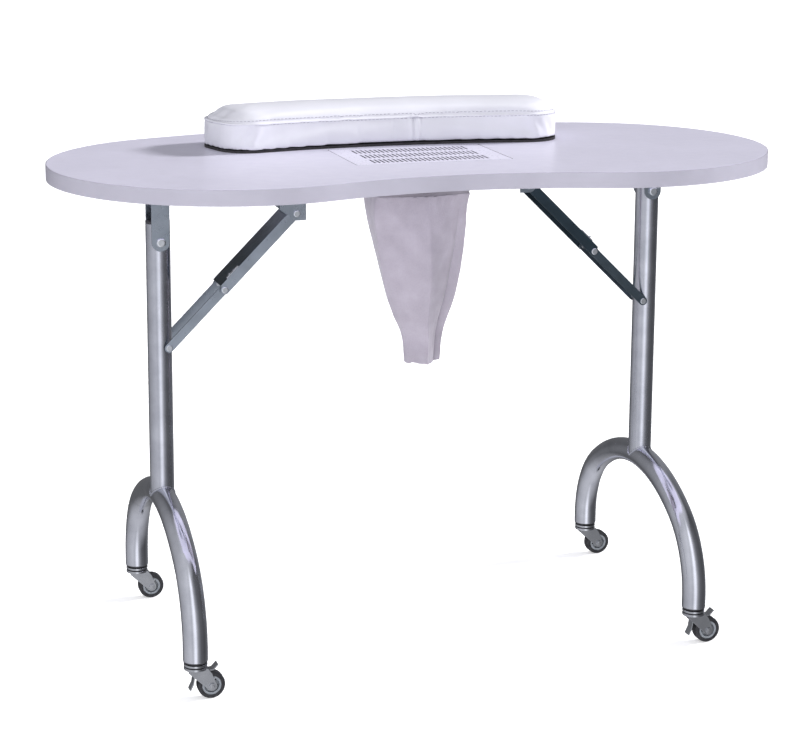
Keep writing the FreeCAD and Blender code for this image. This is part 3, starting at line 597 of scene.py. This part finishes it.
def pad_point(co, normal, along, edge, base_z, seam_z):
    """Where one point of the swollen pad ends up: crown, seam groove, join folds and skirt."""
    co = co.copy()
    lift = co.z - seam_z
    inward = min(edge / (REST_DEPTH / 2), 1.0)
    near_side = co.y < REST_NEAR_Y + 14 * MM
    at_left_end = between(co.x, LEFT_SLOPE)
    if lift > -2 * MM:
        top = min((lift + 2 * MM) / (6 * MM), 1.0)
        co.z += CROWN * (1 - (1 - inward) ** 2.2) * top
        co.z -= 3.2 * MM * at_left_end * bell(edge - 15 * MM, 9 * MM) * top
        co.z += 0.9 * MM * noise.noise(Vector((co.x * 12, co.y * 16, 1.7))) * inward
    move = 0.0
    if edge < 9 * MM:
        move -= 1.5 * MM * bell(lift, 1.8 * MM)
        pucker = noise.noise(Vector((along * 110, 0.3, 0)))
        move += 0.35 * MM * pucker * exp(-abs(lift) / (7 * MM))
    if edge < 7 * MM and lift < 0:
        height = min(1.0, (co.z - base_z) / (7 * MM))
        move += 0.8 * MM * noise.noise(Vector((along * 13, co.z * 22, 4.2))) * height
        if near_side:
            side = co.x - JOIN_X
            fade = height * exp(lift / (40 * MM))
            folds = 3.0 * bell(side - 4.5 * MM, 3.2 * MM) + 2.1 * bell(side + 5.5 * MM, 3 * MM)
            move += folds * MM * fade
            move -= 2.6 * MM * bell(side, 2.6 * MM) * fade
            move -= 1.0 * MM * bell(side, 16 * MM) * bell(lift + 4 * MM, 3 * MM)
    skirt = max(0.0, 1 - (co.z - base_z) / SKIRT_H)
    skirt *= between(edge, (6.5 * MM, 3 * MM))
    if skirt > 0:
        wave = 0.5 + 0.5 * noise.noise(Vector((along * 26, 0.9, 0)))
        at_ends = max(between(co.x, LEFT_SKIRT), between(co.x, RIGHT_SKIRT))
        drop = (0.4 + 0.5 * wave + 2.8 * at_ends) * MM * skirt
        co.z = max(co.z - drop, base_z - SKIRT_DROP)
    return co + normal * move


def make_armrest_trim(pad, seam_z):
    """The piping bead in the seam, with a row of stitches under it and one above it."""
    surface = BVHTree.FromPolygons(
        [v.co.copy() for v in pad.data.vertices], [tuple(p.vertices) for p in pad.data.polygons]
    )

    def on_pad(x, y, z):
        place, normal, _, _ = surface.find_nearest(Vector((x, y, z)))
        return place, normal

    def on_top(x, y):
        above = Vector((x, y, seam_z + 40 * MM))
        place, normal, _, _ = surface.ray_cast(above, Vector((0, 0, -1)))
        if place is None or place.z < seam_z:
            return on_pad(x, y, seam_z + STITCH_OFF)
        return place, normal

    line = []
    for p in rest_outline(0, PIPING_STEP):
        place, normal = on_pad(p.x, p.y, seam_z)
        line.append(place + normal * 0.2 * MM)

    def bead(i):
        """The bead is fattest round the left end and flattest round the right."""
        return (1.2 + 0.5 * (line[i].x < -0.2) - 0.5 * (line[i].x > 0.2)) * MM

    verts, faces = tube_along(line, bead, 8)
    mesh_piece("armrest_piping", verts, faces, "armrest", "white_vinyl")

    verts, faces = [], []

    def stitch(start, end, normal):
        along = (end - start).normalized()
        path = [start - normal * 0.3 * MM, start.lerp(end, 0.15) + normal * 0.35 * MM]
        path += [start.lerp(end, 0.85) + normal * 0.35 * MM, end - normal * 0.3 * MM]
        side = along.cross(normal).normalized()
        base = len(verts)
        for point in path:
            for k in range(STITCH_SIDES):
                angle = 2 * pi * k / STITCH_SIDES
                verts.append(point + (side * cos(angle) + normal * sin(angle)) * STITCH_R)
        rings = [base + i * STITCH_SIDES for i in range(len(path))]
        for a, b in zip(rings, rings[1:]):
            for k in range(STITCH_SIDES):
                m = (k + 1) % STITCH_SIDES
                faces.append((a + k, a + m, b + m, b + k))
        faces.append(tuple(rings[0] + k for k in reversed(range(STITCH_SIDES))))
        faces.append(tuple(rings[-1] + k for k in range(STITCH_SIDES)))

    side_row = rest_outline(0, SEAM_STEP)
    for i in range(0, len(side_row) - STITCH_STEPS - 1, STITCH_PITCH):
        first, last = side_row[i], side_row[i + STITCH_STEPS]
        start, normal = on_pad(first.x, first.y, seam_z - STITCH_OFF)
        end, _ = on_pad(last.x, last.y, seam_z - STITCH_OFF)
        stitch(start, end, normal)
    top_row = rest_outline(TOP_ROW_INSET, SEAM_STEP)
    for i in range(STITCH_PITCH // 2, len(top_row) - STITCH_STEPS - 1, STITCH_PITCH):
        first, last = top_row[i], top_row[i + STITCH_STEPS]
        start, normal = on_top(first.x, first.y)
        end, _ = on_top(last.x, last.y)
        stitch(start, end, normal)
    mesh_piece("armrest_stitches", verts, faces, "armrest", "white_vinyl", THREAD)


# ---------------------------------------------------------------- dust bag
# Each level of the bag from its hem down: height, centre x, half width and half depth.
BAG_LEVELS = (
    (0.6815, -0.0020, 0.0715, 0.0520),
    (0.6750, -0.0035, 0.0713, 0.0512),
    (0.6660, -0.0055, 0.0710, 0.0503),
    (0.6450, -0.0085, 0.0703, 0.0492),
    (0.6200, -0.0055, 0.0688, 0.0478),
    (0.5900, -0.0020, 0.0658, 0.0460),
    (0.5500, 0.0000, 0.0600, 0.0420),
    (0.5100, 0.0010, 0.0518, 0.0365),
    (0.4800, 0.0015, 0.0405, 0.0290),
    (0.4560, 0.0055, 0.0310, 0.0230),
    (0.4340, 0.0060, 0.0288, 0.0210),
    (0.4115, 0.0060, 0.0280, 0.0200),
)
HEM_LEVEL = 2  # the stitched hem ends here
# Round the bag, at the hem and at the bottom, as shares of the half width and half depth.
# The third number is how sharp the fold there is.
HEM_RING = (
    (-1.0, -0.88, 0.0), (-0.91, -1.0, 0.0), (-0.45, -1.0, 0.0), (0.1, -1.0, 0.0), (0.62, -1.0, 0.0),
    (0.91, -1.0, 0.0), (1.0, -0.88, 0.0), (1.0, 0.0, 0.0), (1.0, 0.88, 0.0), (0.91, 1.0, 0.0),
    (0.2, 1.0, 0.0), (-0.3, 1.0, 0.0), (-0.91, 1.0, 0.0), (-1.0, 0.88, 0.0), (-1.0, 0.0, 0.0),
)
LOW_RING = (
    (-1.0, -0.1, 0.8), (-0.8, -0.5, 0.0), (-0.42, -0.98, 0.0), (-0.02, -1.5, 1.0), (0.4, -0.8, 0.0),
    (0.58, -0.22, 1.0), (0.95, -0.35, 0.8), (1.05, 0.2, 0.5), (0.7, 0.5, 0.0), (0.45, 0.6, 0.3),
    (0.15, 1.0, 0.7), (-0.25, 0.7, 0.0), (-0.6, 0.8, 0.5), (-0.75, 0.5, 0.0), (-0.9, 0.2, 0.0),
)
BAG_CENTRE_Y = -0.040
FOLD_ONSET = 0.6  # under 1, the folds begin soon below the hem
HEM_CREASE = 0.8
CLOTH_T = 0.8 * MM


def bag_shell():
    """The bag's coarse surface, one ring of points at each level, with its folds as creases."""
    around = len(HEM_RING)
    top_z, bottom_z = BAG_LEVELS[0][0], BAG_LEVELS[-1][0]
    mesh = bmesh.new()
    sharp = mesh.edges.layers.float.new("crease_edge")
    rings = []
    for z, x, half_w, half_d in BAG_LEVELS:
        share = ((top_z - z) / (top_z - bottom_z)) ** FOLD_ONSET
        ring = []
        for hem, low in zip(HEM_RING, LOW_RING):
            px = hem[0] + (low[0] - hem[0]) * share
            py = hem[1] + (low[1] - hem[1]) * share
            ring.append(mesh.verts.new((x + px * half_w, BAG_CENTRE_Y + py * half_d, z)))
        rings.append(ring)
    for level, (upper, lower) in enumerate(zip(rings, rings[1:])):
        for k in range(around):
            m = (k + 1) % around
            mesh.faces.new((upper[k], upper[m], lower[m], lower[k]))
        for k in range(around):
            mesh.edges.get((upper[k], lower[k]))[sharp] = LOW_RING[k][2] * min(1.0, level / 3)
    for level in (HEM_LEVEL, len(rings) - 1):
        for k in range(around):
            mesh.edges.get((rings[level][k], rings[level][(k + 1) % around]))[sharp] = HEM_CREASE
    centre = mesh.verts.new((BAG_LEVELS[-1][1], BAG_CENTRE_Y, bottom_z + 2 * MM))
    for k in range(around):
        mesh.faces.new((rings[-1][(k + 1) % around], centre, rings[-1][k]))
    mesh.normal_update()
    data = bpy.data.meshes.new("cloth_bag")
    mesh.to_mesh(data)
    mesh.free()
    return data


def make_bag():
    """A soft cloth bag, stretched square at the hem and falling into folds below."""
    piece = bpy.data.objects.new("cloth_bag", bag_shell())
    bpy.context.scene.collection.objects.link(piece)
    detail = piece.modifiers.new("detail", "SUBSURF")
    detail.levels = detail.render_levels = 4
    apply_modifiers(piece)
    hem_z = BAG_LEVELS[HEM_LEVEL][0]
    normals = [v.normal.copy() for v in piece.data.vertices]
    for vertex, normal in zip(piece.data.vertices, normals):
        co = vertex.co
        below = hem_z - co.z
        angle = atan2(co.y - BAG_CENTRE_Y, co.x)
        move = 0.0
        if below < 0:
            move += 0.9 * MM * min(1.0, -below / (1.5 * MM))
            move += 0.3 * MM * sin(angle * 30) * bell(below + 9 * MM, 5 * MM)
        else:
            fall = min(1.0, below / 0.04)
            spot = Vector((cos(angle) * 2.2, sin(angle) * 2.2, co.z * 6))
            move += noise.noise(spot) * 2.0 * MM * fall
            slant = Vector((co.x * 34 + co.z * 9, co.y * 34, co.z * 11))
            move += noise.noise(slant) * 1.5 * MM * fall
            move += noise.noise(co * 70) * 0.5 * MM * fall
            move += 0.5 * MM * sin(angle * 23) * bell(below, 14 * MM)
        vertex.co = co + normal * move
    thick = piece.modifiers.new("thick", "SOLIDIFY")
    thick.thickness = CLOTH_T
    thick.offset = -1
    apply_modifiers(piece)
    finish_piece(piece, "bag", "lilac_cloth")
    piece.data.materials.append(DARKER_TOP_CLOTH)
    # Faces above the hem take the darker cloth.
    for polygon in piece.data.polygons:
        polygon.material_index = 1 if polygon.center.z > hem_z + 0.5 * MM else 0
    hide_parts("dust_bag")
    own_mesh(piece)


# ---------------------------------------------------------------- welds
WELD_STEPS = 160
SADDLE_R = 0.25  # the arch's crown, taken as an arc of this radius


def make_weld(side):
    """The saddle weld between the post and the bent foot tube."""
    post_low, post_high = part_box(f"{side}_post")
    radius = (post_high.x - post_low.x) / 2
    centre_x = (post_high.x + post_low.x) / 2
    centre_y = (post_high.y + post_low.y) / 2
    crown_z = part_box(f"{side}_arch")[1].z - radius
    path = []
    for i in range(WELD_STEPS):
        angle = 2 * pi * i / WELD_STEPS
        rise = radius * sqrt(sin(angle) ** 2 + 0.004)
        sag = (radius * sin(angle)) ** 2 / (2 * SADDLE_R)
        out = radius + 0.2 * MM
        x, y = centre_x + out * cos(angle), centre_y + out * sin(angle)
        path.append(Vector((x, y, crown_z + rise - sag)))

    def bead(i):
        lump = noise.noise(Vector((i * 0.35, 2.0 if side == "left" else 7.0, 0)))
        return (1.35 + 0.25 * sin(i * 2.1) + 0.3 * lump) * MM

    verts, faces = tube_along(path, bead, 10)
    mesh_piece(f"{side}_weld_bead", verts, faces, f"{side}_leg", "satin_steel")


# ---------------------------------------------------------------- room, light and camera
def cool(value):
    """A slightly blue grey."""
    return (value * 0.97, value * 0.985, value * 1.03)


# Bearings run from -X through -Y to +X and +Y, as shares of a full turn.
CARDS = [
    (0.00, cool(0.8)),
    (0.10, cool(1.0)),
    (0.17, cool(0.9)),
    (0.205, cool(1.75)),
    (0.245, cool(1.8)),
    (0.28, cool(0.75)),
    (0.32, cool(0.4)),
    (0.37, cool(0.2)),
    (0.48, cool(0.13)),
    (0.56, cool(0.2)),
    (0.65, cool(0.4)),
    (0.70, cool(0.2)),
    (0.80, cool(0.17)),
    (0.90, cool(0.6)),
    (1.00, cool(0.8)),
]
SKY = (0.85, 0.86, 0.9)
STUDIO_LIGHT = 0.72
FLOOR_HALF = 40.0
# How far the sky hides the cards, from straight down at 0 to straight up at 1. Mirror rays
# see the cards reach much higher, so that tilted tubes still show light and dark.
CARD_REACH = ((0.0, 1), (0.2, 0.75), (0.34, 0), (0.72, 0), (0.86, 1))
MIRROR_REACH = ((0.0, 1), (0.1, 0.6), (0.25, 0), (0.9, 0), (0.99, 1))


def make_room():
    """The floor, and the studio round it as the steel sees it."""
    far = FLOOR_HALF
    corners = [(-far, -far, 0), (far, -far, 0), (far, far, 0), (-far, far, 0)]
    mesh = bpy.data.meshes.new("floor")
    mesh.from_pydata(corners, [], [(0, 1, 2, 3)])
    floor = bpy.data.objects.new("floor", mesh)
    floor.data.materials.append(floor_paint())
    bpy.context.scene.collection.objects.link(floor)
    floor.visible_glossy = False

    # A ring of light and dark cards round the table: each stop is a bearing, counted from the
    # technician's left, and its brightness.
    world = bpy.data.worlds.new("studio")
    bpy.context.scene.world = world
    world.use_nodes = True
    s = Shader(world.node_tree)
    place = s.add("ShaderNodeTexCoord")
    split = s.add("ShaderNodeSeparateXYZ")
    s.wire(place.outputs["Generated"], split.inputs["Vector"])
    bearing = s.add("ShaderNodeMath", operation="ARCTAN2")
    s.wire(split.outputs["Y"], bearing.inputs[0])
    s.wire(split.outputs["X"], bearing.inputs[1])
    cards = s.ramp(s.remap(bearing.outputs[0], -pi, pi, 0, 1), CARDS)
    rise = s.remap(split.outputs["Z"], -1, 1, 0, 1)
    rays = s.add("ShaderNodeLightPath")
    reach = s.add("ShaderNodeMix", data_type="RGBA")
    s.wire(rays.outputs["Is Glossy Ray"], reach.inputs["Factor"])
    for socket, stops in (("A", CARD_REACH), ("B", MIRROR_REACH)):
        s.wire(s.ramp(rise, [(z, (sky,) * 3) for z, sky in stops]), reach.inputs[socket])
    mix = s.add("ShaderNodeMix", data_type="RGBA")
    mix.inputs["B"].default_value = (*SKY, 1)
    s.wire(reach.outputs["Result"], mix.inputs["Factor"])
    s.wire(cards, mix.inputs["A"])
    studio = s.add("ShaderNodeBackground", in_Strength=STUDIO_LIGHT)
    s.wire(mix.outputs["Result"], studio.inputs["Color"])
    plain = s.add("ShaderNodeBackground", in_Color=(1, 1, 1, 1))
    choose = s.add("ShaderNodeMixShader")
    s.wire(rays.outputs["Is Camera Ray"], choose.inputs[0])
    s.wire(studio.outputs["Background"], choose.inputs[1])
    s.wire(plain.outputs["Background"], choose.inputs[2])
    output = s.add("ShaderNodeOutputWorld")
    s.wire(choose.outputs[0], output.inputs["Surface"])


def area_light(name, place, target, size, power):
    """A square lamp that looks at a target. The steel doesn't mirror it."""
    data = bpy.data.lights.new(name, "AREA")
    data.shape = "RECTANGLE"
    data.size = data.size_y = size
    data.energy = power
    lamp = bpy.data.objects.new(name, data)
    lamp.location = place
    lamp.rotation_euler = (Vector(target) - Vector(place)).to_track_quat("-Z", "Y").to_euler()
    lamp.visible_glossy = False
    bpy.context.scene.collection.objects.link(lamp)


def sun(name, bearing, height, spread, strength):
    """A distant lamp that the steel doesn't mirror. All three angles are degrees: bearing
    runs from +X towards +Y, and spread is the lamp's size in the sky."""
    data = bpy.data.lights.new(name, "SUN")
    data.angle = radians(spread)
    data.energy = strength
    lamp = bpy.data.objects.new(name, data)
    a, h = radians(bearing), radians(height)
    toward = Vector((cos(a) * cos(h), sin(a) * cos(h), sin(h)))
    lamp.rotation_euler = toward.to_track_quat("Z", "Y").to_euler()
    lamp.visible_glossy = False
    bpy.context.scene.collection.objects.link(lamp)


def make_lights():
    """A low key light from the right, a faint one overhead and a soft one at the front left."""
    sun("key", bearing=4, height=25, spread=9, strength=4.6)
    sun("overhead", bearing=-100, height=62, spread=50, strength=0.2)
    area_light("front", place=(-1.8, -3.2, 1.3), target=(0, 0, 0.55), size=1.6, power=40)


# A camera fitted to the photo by its outlines. It is turned from +Y towards +X, and down.
CAMERA_PLACE = (-0.993, -3.091, 1.200)
CAMERA_YAW = radians(17.55)
CAMERA_PITCH = radians(12.26)
CAMERA_ROLL = radians(0.32)
CAMERA_LENS = 100.2
CAMERA_SHIFT_Y = -0.091


def make_camera():
    """The camera at the photo's viewing angle."""
    data = bpy.data.cameras.new("camera")
    data.lens = CAMERA_LENS
    data.sensor_width = 36.0
    data.sensor_fit = "HORIZONTAL"
    data.shift_y = CAMERA_SHIFT_Y
    data.clip_end = 200.0
    level_part = cos(CAMERA_PITCH)
    forward = Vector(
        (sin(CAMERA_YAW) * level_part, cos(CAMERA_YAW) * level_part, -sin(CAMERA_PITCH))
    )
    level = Vector((cos(CAMERA_YAW), -sin(CAMERA_YAW), 0))
    above = level.cross(forward)
    right = level * cos(CAMERA_ROLL) + above * sin(CAMERA_ROLL)
    up = right.cross(forward)
    camera = bpy.data.objects.new("camera", data)
    turn = Matrix((right, up, -forward)).transposed().to_4x4()
    camera.matrix_world = Matrix.Translation(CAMERA_PLACE) @ turn
    bpy.context.scene.collection.objects.link(camera)
    bpy.context.scene.camera = camera


# ---------------------------------------------------------------- build
bpy.context.scene.view_settings.view_transform = "Standard"
dress_frame()
pad, pad_seam_z = make_cushion()
make_armrest_trim(pad, pad_seam_z)
make_bag()
for side_name in SIDES:
    make_weld(side_name)
make_room()
make_lights()
make_camera()
